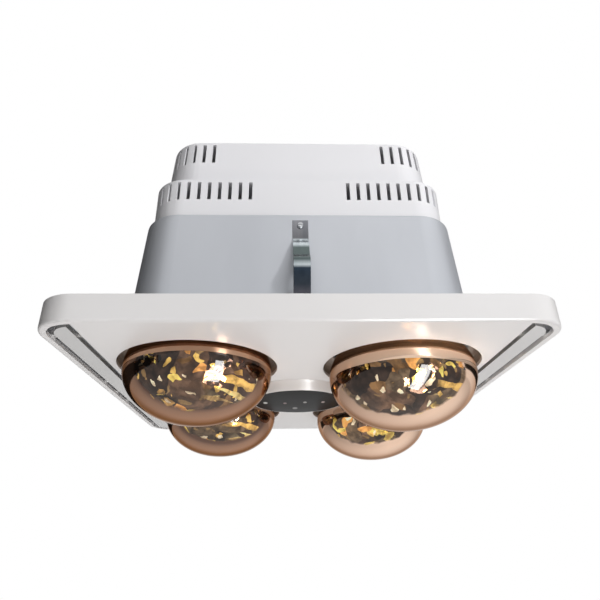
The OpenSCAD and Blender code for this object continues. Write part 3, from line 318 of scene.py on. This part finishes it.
# Each indicator: its place on the disc, its half width and its colour.
indicators = ((-0.0330, 0.0003, 0.0019, (0.62, 0.62, 0.60)), (-0.0132, 0.0009, 0.0015, (0.26, 0.20, 0.20)),
              (0.0070, -0.0027, 0.0016, (0.36, 0.35, 0.34)), (0.0253, -0.0021, 0.0016, (0.40, 0.33, 0.32)),
              (-0.0026, 0.0233, 0.0024, (0.26, 0.26, 0.26)))
indicator_edge = 0.0004
indicator_squeeze = (1, 0.55, 0)
smoked = surface("smoked_plastic", [(0.3, (0.010, 0.010, 0.011)), (0.7, (0.015, 0.015, 0.015))],
                 (0.285, 0.33), spread=30, grain=2200, relief=0.000004, IOR=1.08)
tree = smoked.node_tree
colour_socket = tree.nodes["finish"].inputs["Base Color"]
tint = colour_socket.links[0].from_socket
place = add_node(tree, "ShaderNodeTexCoord").outputs["Object"]
for x, y, half, colour in indicators:
    off = arrow(tree, "MULTIPLY", arrow(tree, "SUBTRACT", place, (x, y, 0)), indicator_squeeze)
    inside = ranged(tree, arrow(tree, "LENGTH", off), half, half + indicator_edge, 1.0, 0.0)
    tint = mixed(tree, inside, tint, (*colour, 1))
tree.links.new(tint, colour_socket)
dressed("window_lens", smoked, width=0.0002)

board_lacquer = surface("board_lacquer", [(0.42, (0.012, 0.10, 0.045)), (0.5, (0.03, 0.19, 0.08)),
                                          (0.58, (0.012, 0.10, 0.045))],
                        (0.29, 0.36), spread=220, grain=2500, relief=0.00002, detail=0.0)
for node in ("receiver_board", "control_board"):
    dressed(node, board_lacquer, width=0.0002)
grey_plastic = surface("grey_plastic", [(0.3, (0.50, 0.50, 0.50)), (0.7, (0.56, 0.56, 0.555))], (0.4, 0.5),
                       grain=1200, relief=0.00004)
dressed("receiver_cover", grey_plastic)


# Cups: shallow dishes spun from polished aluminium, one round each lamp. They are screwed to the back of
# the fascia, behind its holes.
cup_metal = surface("cup_metal", [(0.35, (0.42, 0.37, 0.32)), (0.65, (0.56, 0.50, 0.44))], (0.29, 0.4),
                    metallic=0.5, spread=40, grain=1400, relief=0.00001, stretch=(1, 1, 12))
corners = {"front_left": (-1, -1), "front_right": (1, -1), "back_left": (-1, 1), "back_right": (1, 1)}
for corner in corners:
    dressed("lamp_cup_" + corner, cup_metal, width=0.0001)


# Lamps: reflector bulbs of hard glass. The envelope is blown, its back and rim are coated from inside
# with a bronze-gold mirror, and the face below is left clear, so that the mirror shows through it.
lamp_pitch = 0.175
lamp_at = lamp_pitch / 2
right_slack = 0.0054450
glass_r, glass_t = 0.0625, 0.0012
face_h = 0.044
wide_z = -0.026
neck_r, neck_z = 0.019, 0.056
end_r, cap_z = 0.0114, 0.078
mirror_gap, mirror_t, mirror_thin = 0.0003, 0.0012, 0.002
mirror_depth = 0.024
clear_r, clear_edge, right_clear_drop = 0.055, 0.0015, 0.0064
fold_depth, swell_depth = 0.0009, 0.0006


def curve(a, b, c, d, steps):
    """Points on a cubic curve."""
    points = []
    for i in range(steps + 1):
        t, s = i / steps, 1 - i / steps
        points.append(tuple(s ** 3 * w + 3 * s * s * t * x + 3 * s * t * t * y + t ** 3 * z
                            for w, x, y, z in zip(a, b, c, d)))
    return points


def envelope(t, steps=28):
    """The line of the glass in radius and height, from the middle of the face up to the cap, t inside it."""
    dome = [((glass_r - t) * math.sin(math.pi / 2 * i / steps),
             wide_z - (face_h - t) * math.cos(math.pi / 2 * i / steps)) for i in range(steps + 1)]
    shoulder = curve((glass_r - t, wide_z + 0.001), (glass_r - t, wide_z + 0.026),
                     (neck_r + 0.005 - t, wide_z + 0.050), (neck_r - t, neck_z - 0.006), 24)
    end = curve((neck_r - t, neck_z + 0.005), (neck_r - t, neck_z + 0.014),
                (end_r - t, neck_z + 0.012), (end_r - t, cap_z - 0.001), 8)
    return dome + shoulder + end + [(end_r - t, cap_z + 0.004)]


def spun(profile, x, y, lift=0.0, steps=96, closed=False):
    """A line in radius and height turned once round the upright axis through x, y."""
    shape = bmesh.new()
    points = [shape.verts.new((x + r, y, z + lift)) for r, z in profile]
    pairs = list(zip(points, points[1:])) + ([(points[-1], points[0])] if closed else [])
    edges = [shape.edges.new(pair) for pair in pairs]
    bmesh.ops.spin(shape, geom=points + edges, cent=(x, y, 0), axis=(0, 0, 1), angle=2 * math.pi,
                   steps=steps, use_merge=True)
    bmesh.ops.remove_doubles(shape, verts=shape.verts, dist=1e-6)
    bmesh.ops.recalc_face_normals(shape, faces=shape.faces)
    return shape


def from_axis(tree):
    """A point's distance from the axis of the lamp it belongs to, its angle round that axis, its
    coordinates one by one, and its place."""
    place = add_node(tree, "ShaderNodeTexCoord").outputs["Object"]
    split = add_node(tree, "ShaderNodeSeparateXYZ", {0: place}).outputs
    x, y = [number(tree, "MULTIPLY_ADD", number(tree, "SIGN", split[axis]), -lamp_at, split[axis])
            for axis in "XY"]
    radius = arrow(tree, "LENGTH", add_node(tree, "ShaderNodeCombineXYZ", {0: x, 1: y}).outputs[0])
    return radius, number(tree, "ARCTAN2", y, x), split, place


def within(tree, value, low, high, edge):
    """1 where a value lies between low and high, and 0 outside, with soft edges."""
    rise = ranged(tree, value, low, low + edge)
    return number(tree, "MULTIPLY", rise, ranged(tree, value, high - edge, high, 1.0, 0.0))


def crumples_and_painted_reflections(tree, radius, angle, place):
    """Colour and height of a crinkled mirror coat. The height gives its dents, and the colour paints the
    reflections in them: dull brown and olive with bright gold shards and cream glints, long gold arcs to
    the lower right, and painted shading that lightens and darkens it in patches."""
    wave = noise(tree, place, 40)["Color"]
    spot = arrow(tree, "ADD", place, arrow(tree, "MULTIPLY", wave, (0.022, 0.022, 0.022)))
    turn = add_node(tree, "ShaderNodeCombineXYZ", {0: radius, 1: angle}).outputs[0]
    ring = arrow(tree, "MULTIPLY", turn, (330, 1.5, 1))
    sway = arrow(tree, "MULTIPLY_ADD", wave, (2.4, 0.8, 0), ring)
    picks = []
    for vector, scale in ((spot, 42), (spot, 120), (spot, 240), (sway, 1)):
        cell = add_node(tree, "ShaderNodeTexVoronoi", {"Vector": vector, "Scale": scale}).outputs
        picks.append(add_node(tree, "ShaderNodeSeparateColor", {0: cell["Color"]}).outputs[0])
    depth = add_node(tree, "ShaderNodeTexVoronoi", {"Vector": spot, "Scale": 120}).outputs["Distance"]
    # Painted reflections: dull brown and olive patches, with painted shade that drifts lighter and darker over
    # them.
    dull = ramp(tree, picks[0], [(0.0, (0.035, 0.022, 0.017)), (0.30, (0.16, 0.115, 0.075)),
                                 (0.56, (0.065, 0.036, 0.026)), (0.80, (0.14, 0.085, 0.058))], "CONSTANT")
    painted_shade_drift = ramp(tree, noise(tree, place, 60, 3.0)[0], [(0.36, (0.45, 0.43, 0.41)), (0.66, (1.6, 1.5, 1.35))])
    # Painted reflections: gold and orange shards, cream glints, and gold arcs.
    gold = ramp(tree, picks[1], [(0.0, (0.92, 0.70, 0.17)), (0.06, (0.95, 0.46, 0.13)),
                                 (0.09, (0.62, 0.36, 0.11)), (0.12, (0.24, 0.13, 0.05))], "CONSTANT")
    glint = ramp(tree, picks[2], [(0.0, (1.0, 0.86, 0.62)), (0.02, (0.85, 0.56, 0.15)),
                                  (0.05, (0.30, 0.19, 0.08))], "CONSTANT")
    arc = ramp(tree, picks[3], [(0.0, (0.95, 0.74, 0.30)), (0.12, (0.80, 0.50, 0.14)),
                                (0.20, (0.45, 0.30, 0.12)), (0.28, (0.16, 0.12, 0.07))], "CONSTANT")
    # The painted arcs lie only in the outer ring, to the lower right.
    outer = within(tree, radius, 0.036, 0.0625, 0.002)
    lower_right = within(tree, angle, -1.35, 0.15, 0.15)
    colour = mixed(tree, 1.0, dull, painted_shade_drift, "MULTIPLY")
    for pick, share, shine in ((picks[1], 0.17, gold), (picks[2], 0.085, glint), (picks[3], 0.36, arc)):
        shard = number(tree, "LESS_THAN", pick, share)
        if shine is arc:
            shard = number(tree, "MULTIPLY", shard, number(tree, "MULTIPLY", outer, lower_right))
        colour = mixed(tree, shard, colour, shine)
    # Painted shading: patches and shards lightened and darkened by a slow noise.
    gleam = ramp(tree, noise(tree, spot, 130, 3.0)[0], [(0.38, (0.50, 0.46, 0.42)), (0.60, (1.2, 1.2, 1.25))])
    return mixed(tree, 1.0, colour, gleam, "MULTIPLY"), depth


lamp_glass, tree = bare_material("lamp_glass")
radius, angle, split, place = from_axis(tree)
# The clear face: below the widest ring, inside clear_r, and turned enough towards the eye to see into.
on_right = number(tree, "GREATER_THAN", split["X"], 0.0)
at_back = number(tree, "GREATER_THAN", split["Y"], 0.0)
height = number(tree, "MULTIPLY_ADD", on_right, right_clear_drop, split["Z"])
below = number(tree, "LESS_THAN", height, wide_z - clear_edge)
window = within(tree, radius, -1.0, clear_r, 0.0008)
slant = add_node(tree, "ShaderNodeLayerWeight", {"Blend": 0.5}).outputs["Facing"]
ripple = noise(tree, place, 70)[0]
turned = number(tree, "MULTIPLY_ADD", ripple, 0.16, slant)
turned = number(tree, "MULTIPLY_ADD", at_back, 0.08, turned)
open_face = number(tree, "MULTIPLY", below, within(tree, turned, -1.0, 0.535, 0.035))
coat = ranged(tree, number(tree, "MULTIPLY", open_face, window), 0.0, 1.0, 1.0, 0.7)
# Its colours: bronze on the coated back, brown to bronze round the edge, and the folds where it is clear.
# The edge colour and the folds are painted reflections, and towards the right both bronze and edge are
# lightened with painted light.
waver = noise(tree, place, 26)[0]
bronze = ramp(tree, waver, [(0.3, (0.34, 0.20, 0.13)), (0.7, (0.50, 0.32, 0.22))])
# Painted reflection: the edge colour follows how far the glass turns from the eye, brown to bronze as it
# reflects at grazing angles, with painted dark rims at its inner edge and at the outline.
edge = ramp(tree, slant, [(0.42, (0.09, 0.045, 0.03)), (0.50, (0.24, 0.14, 0.095)), (0.62, (0.36, 0.22, 0.16)),
                          (0.90, (0.34, 0.21, 0.15)), (1.0, (0.10, 0.06, 0.045))])
# Painted light: towards the right the bronze and the edge colours are lightened with a pale colour, as if lit
# from that side.
painted_light_rightward = ranged(tree, split["X"], 0.0, 0.10, 0.0, 0.8)
painted_light_colour = (0.85, 0.62, 0.50, 1)
edge = mixed(tree, painted_light_rightward, edge, painted_light_colour, "SCREEN")
bronze = mixed(tree, painted_light_rightward, bronze, painted_light_colour, "SCREEN")
# Painted reflections of the crinkled coat colour the clear face.
painted_fold_reflections, fold_height = crumples_and_painted_reflections(tree, radius, angle, place)
tint = mixed(tree, open_face, mixed(tree, below, bronze, edge), painted_fold_reflections)
dent = number(tree, "MULTIPLY", fold_height, number(tree, "MULTIPLY", open_face, fold_depth))
swell = number(tree, "MULTIPLY", waver, swell_depth)
relief = raised(tree, number(tree, "ADD", dent, swell), 1.0)
sheen = ranged(tree, slant, 0.45, 0.75, 0.65, 0.0)
finish(tree, {"Base Color": tint, "Metallic": coat, "Transmission Weight": 1.0, "Roughness": 0.1, "IOR": 1.5,
              "Specular Tint": (0.5, 0.36, 0.28, 1), "Normal": relief, "Coat Weight": sheen,
              "Coat Roughness": 0.04, "Coat Tint": (1.0, 0.93, 0.82, 1)})

# The mirror inside: the coat as it shows through the clear face, coloured with the same painted reflections.
mirror, tree = bare_material("lamp_mirror")
radius, angle, split, place = from_axis(tree)
painted_fold_reflections, fold_height = crumples_and_painted_reflections(tree, radius, angle, place)
finish(tree, {"Base Color": painted_fold_reflections, "Metallic": 1.0, "Roughness": 0.16,
              "Normal": raised(tree, fold_height, 0.002, 0.5)})

for corner, (x, y) in corners.items():
    drop = -right_slack if x > 0 else 0.0
    outer, inner = envelope(0), envelope(glass_t)
    finished(spun(outer + inner[::-1], x * lamp_at, y * lamp_at, drop), "lamp_envelope_" + corner, lamp_glass,
             "bulb_" + corner, ["lamp_glass_" + corner])
    back = [p for p in envelope(glass_t + mirror_gap) if wide_z - mirror_depth < p[1] < neck_z]
    front = [(r - mirror_t - mirror_thin * (i > 0), z) for i, (r, z) in enumerate(back)][::3]
    bowl = spun(back[::3] + front[::-1], x * lamp_at, y * lamp_at, drop, steps=26, closed=True)
    finished(bowl, "lamp_mirror_" + corner, mirror, "bulb_" + corner, crease=5)


# Filament: coiled tungsten on wire supports round a glass stem. Cap: nickel-plated brass, rolled into a
# screw thread, with a solder button.
filament_metal = surface("filament_metal", [(0.3, (0.42, 0.40, 0.38)), (0.7, (0.60, 0.58, 0.55))],
                         (0.3, 0.45), metallic=1.0, spread=300, grain=4000, relief=0.00004)
cap_metal = surface("cap_metal", [(0.3, (0.55, 0.53, 0.48)), (0.7, (0.70, 0.67, 0.60))], (0.2, 0.27),
                    metallic=1.0, spread=60, grain=1800, relief=0.00001)
for corner in corners:
    dressed("lamp_filament_" + corner, filament_metal, "bulb_" + corner, width=0)
    dressed("lamp_cap_" + corner, cap_metal, "cap_" + corner, width=0)


# Lampholders: glazed ceramic bodies with brass shells and contact tongues. They are screwed under bridges
# bent from steel strip, of the kind that also carries the motor.
ceramic = surface("ceramic", [(0.3, (0.78, 0.76, 0.71)), (0.7, (0.84, 0.82, 0.78))], (0.14, 0.26), spread=45,
                  grain=700, relief=0.00003)
dressed("lamp_holders", ceramic, width=0.0008)
brass = surface("brass", [(0.3, (0.62, 0.42, 0.16)), (0.7, (0.78, 0.58, 0.26))], (0.29, 0.38), metallic=1.0,
                spread=70, grain=1500, relief=0.00001)
dressed("socket_contacts", brass, width=0)
bridge_steel = surface("bridge_steel", [(0.35, (0.45, 0.47, 0.49)), (0.65, (0.60, 0.61, 0.62))], (0.28, 0.42),
                       metallic=1.0, spread=50, grain=1200, relief=0.00001, stretch=(1, 0.15, 1))
for node in ("holder_bridge_left", "holder_bridge_right", "motor_bracket"):
    dressed(node, bridge_steel, width=0.0003)


# Tub: deep-drawn steel sheet with a flange at its mouth and a flat deck, under a pale grey zinc finish.
# The flange is screwed to the back of the fascia.
tub_zinc = surface("tub_zinc", [(0.3, (0.54, 0.56, 0.60)), (0.7, (0.61, 0.63, 0.67))], (0.36, 0.5),
                   metallic=0.35, spread=14, grain=420, relief=0.00002, stretch=(1, 1, 0.35))
dressed("tub", tub_zinc, width=0.0003)


# Tiers: two white moulded covers over the lampholders and the fan, with vent slots round their corners.
# The lower one is screwed to the tub's deck, and the upper one to the lower.
tier_plastic = surface("tier_plastic", [(0.3, (0.91, 0.91, 0.94)), (0.7, (0.94, 0.94, 0.965))], (0.3, 0.42),
                       spread=6, grain=1300, relief=0.00002)
for node in ("lower_tier", "upper_tier"):
    dressed(node, tier_plastic, width=0.0005)


# Spring straps: zinc-plated spring steel, one to a side. The foot is screwed flat to the tub and the
# leaf bends away from it in a bow that presses on the cut edge of the ceiling. Its colour is darkened
# and lightened in bands by height, as painted reflections: blue-black under the bow, and painted
# highlights on the slope and along the crest.
tub_half, tub_draft = 0.1456, 0.063
bend_z = 0.0758
strap_w, strap_t, strap_gap = 0.0136, 0.0008, 0.0001
foot_h = 0.019
bow_out, bow_drop = 0.020, 0.033
tail_out, tail_drop = 0.007, 0.070
strap_zinc = surface("strap_zinc", [(0.3, (0.78, 0.80, 0.82)), (0.7, (1.0, 1.0, 1.0))], (0.16, 0.26),
                     metallic=1.0, spread=30, grain=900, relief=0.00001, stretch=(8, 8, 0.6))
tree = strap_zinc.node_tree
colour_socket = tree.nodes["finish"].inputs["Base Color"]
place = add_node(tree, "ShaderNodeTexCoord").outputs["Object"]
up = add_node(tree, "ShaderNodeSeparateXYZ", {0: place}).outputs["Z"]
# Painted reflections: bands by height darken the strap under the bow and lighten it with painted highlights on
# the slope and the crest.
painted_reflection_bands = ramp(tree, ranged(tree, up, 0.0, 0.1),
             [(0.06, (0.16, 0.16, 0.18)), (0.19, (0.10, 0.10, 0.12)), (0.24, (0.045, 0.055, 0.07)),
              (0.36, (0.03, 0.045, 0.065)), (0.385, (0.55, 0.60, 0.62)), (0.41, (0.34, 0.38, 0.39)),
              (0.435, (0.10, 0.13, 0.13)), (0.62, (0.10, 0.135, 0.13)), (0.66, (0.62, 0.68, 0.70)),
              (0.74, (0.55, 0.60, 0.62)), (0.765, (0.17, 0.17, 0.18)), (0.95, (0.28, 0.28, 0.30))])
tree.links.new(mixed(tree, 1.0, colour_socket.links[0].from_socket, painted_reflection_bands, "MULTIPLY"), colour_socket)


def strap_line():
    """The strap's middle line: distance out from the tub's wall, and height over the bend."""
    out = strap_t / 2 + strap_gap
    foot = [(out, foot_h + 0.0005), (out, 0.010), (out, 0.003)]
    bend = curve((0.0005, 0.001), (0.0006, -0.002), (0.0030, -0.0045), (0.0054, -0.008), 6)
    crest = curve((bow_out - 0.007, -bow_drop + 0.0085), (bow_out - 0.002, -bow_drop + 0.0036),
                  (bow_out, -bow_drop + 0.001), (bow_out, -bow_drop - 0.002), 10)
    tail = curve((bow_out, -bow_drop - 0.004), (bow_out - 0.0006, -bow_drop - 0.012),
                 (tail_out + 0.003, -tail_drop + 0.014), (tail_out, -tail_drop), 12)
    return foot + bend + crest + tail


lean = math.atan(tub_draft)
at_bend = Vector((0, -(tub_half - tub_draft * bend_z), bend_z))
for side, degrees in (("front", 0), ("right", 90), ("back", 180), ("left", 270)):
    shape = bmesh.new()
    verts = [shape.verts.new((0, -out, up)) for out, up in strap_line()]
    for pair in zip(verts, verts[1:]):
        shape.edges.new(pair)
    grown = bmesh.ops.extrude_edge_only(shape, edges=shape.edges[:])["geom"]
    far_edge = [v for v in grown if isinstance(v, bmesh.types.BMVert)]
    bmesh.ops.translate(shape, vec=(strap_w, 0, 0), verts=far_edge)
    bmesh.ops.translate(shape, vec=(-strap_w / 2, 0, 0), verts=shape.verts)
    bmesh.ops.recalc_face_normals(shape, faces=shape.faces)
    bmesh.ops.solidify(shape, geom=shape.faces[:], thickness=strap_t)
    bmesh.ops.recalc_face_normals(shape, faces=shape.faces)
    bmesh.ops.rotate(shape, cent=(0, 0, 0), matrix=Matrix.Rotation(-lean, 3, "X"), verts=shape.verts)
    bmesh.ops.translate(shape, vec=at_bend, verts=shape.verts)
    turn = Matrix.Rotation(math.radians(degrees), 3, "Z")
    bmesh.ops.rotate(shape, cent=(0, 0, 0), matrix=turn, verts=shape.verts)
    strap = finished(shape, "spring_strap_" + side, strap_zinc, None,
                     ["spring_leaf_" + side, "spring_feet"])
    soften(strap, 0.0002)
    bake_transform(strap)


# Fan: a black inlet ring screwed to the deck, and a bladed wheel moulded in white plastic, which a nut
# holds on the motor's ground steel shaft.
black_plastic = surface("black_plastic", [(0.3, (0.045, 0.045, 0.047)), (0.7, (0.06, 0.06, 0.062))],
                        (0.4, 0.5))
dressed("inlet_ring", black_plastic, width=0)
wheel_plastic = surface("wheel_plastic", [(0.3, (0.72, 0.72, 0.72)), (0.7, (0.80, 0.80, 0.79))], (0.35, 0.5))
dressed("impeller", wheel_plastic, "fan", width=0)
bright_steel = surface("bright_steel", [(0.3, (0.55, 0.55, 0.56)), (0.7, (0.68, 0.68, 0.68))], (0.15, 0.26),
                       metallic=1.0, spread=80)
for node in ("impeller_nut", "motor_shaft"):
    dressed(node, bright_steel, "fan", width=0)


# Motor: a laminated rotor that turns in bronze bushes inside a wound stator. Its zinc-plated can is
# screwed to a plate.
laminations = surface("laminations", [(0.3, (0.16, 0.15, 0.15)), (0.7, (0.26, 0.25, 0.25))], (0.35, 0.5),
                      metallic=1.0, stretch=(1, 1, 60))
dressed("rotor", laminations, "fan", width=0)
bronze_bush = surface("bronze_bush", [(0.3, (0.42, 0.27, 0.11)), (0.7, (0.55, 0.38, 0.17))], (0.3, 0.42),
                      metallic=1.0)
dressed("motor_bushes", bronze_bush, width=0)
winding = surface("winding", [(0.3, (0.34, 0.10, 0.035)), (0.7, (0.52, 0.20, 0.07))], (0.29, 0.42),
                  metallic=0.7, stretch=(1, 1, 30), spread=40, relief=0.0001)
dressed("stator", winding, width=0)
motor_zinc = surface("motor_zinc", [(0.3, (0.42, 0.43, 0.45)), (0.7, (0.55, 0.56, 0.57))], (0.29, 0.4),
                     metallic=1.0, spread=30)
for node in ("motor_can", "motor_plate"):
    dressed(node, motor_zinc, width=0.0002)


# Electrics: relays on the control board, a terminal block and thermal cut-outs on the deck, a nylon cable
# gland in the lower tier's back wall, and red heat-proof leads between them.
relay_plastic = surface("relay_plastic", [(0.3, (0.03, 0.09, 0.28)), (0.7, (0.045, 0.12, 0.34))],
                        (0.29, 0.36))
dressed("relays", relay_plastic, width=0.0004)
ivory = surface("ivory", [(0.3, (0.72, 0.68, 0.56)), (0.7, (0.78, 0.74, 0.63))], (0.3, 0.42))
dressed("terminal_block", ivory, width=0.0004)
dressed("thermal_cutout", black_plastic, width=0.0002)
gland_nylon = surface("gland_nylon", [(0.3, (0.20, 0.20, 0.205)), (0.7, (0.25, 0.25, 0.255))], (0.38, 0.5))
dressed("cable_gland", gland_nylon, width=0.0004)
lead_jacket = surface("lead_jacket", [(0.3, (0.42, 0.03, 0.02)), (0.7, (0.52, 0.05, 0.035))], (0.35, 0.45))
dressed("wiring", lead_jacket, width=0, crease=60)
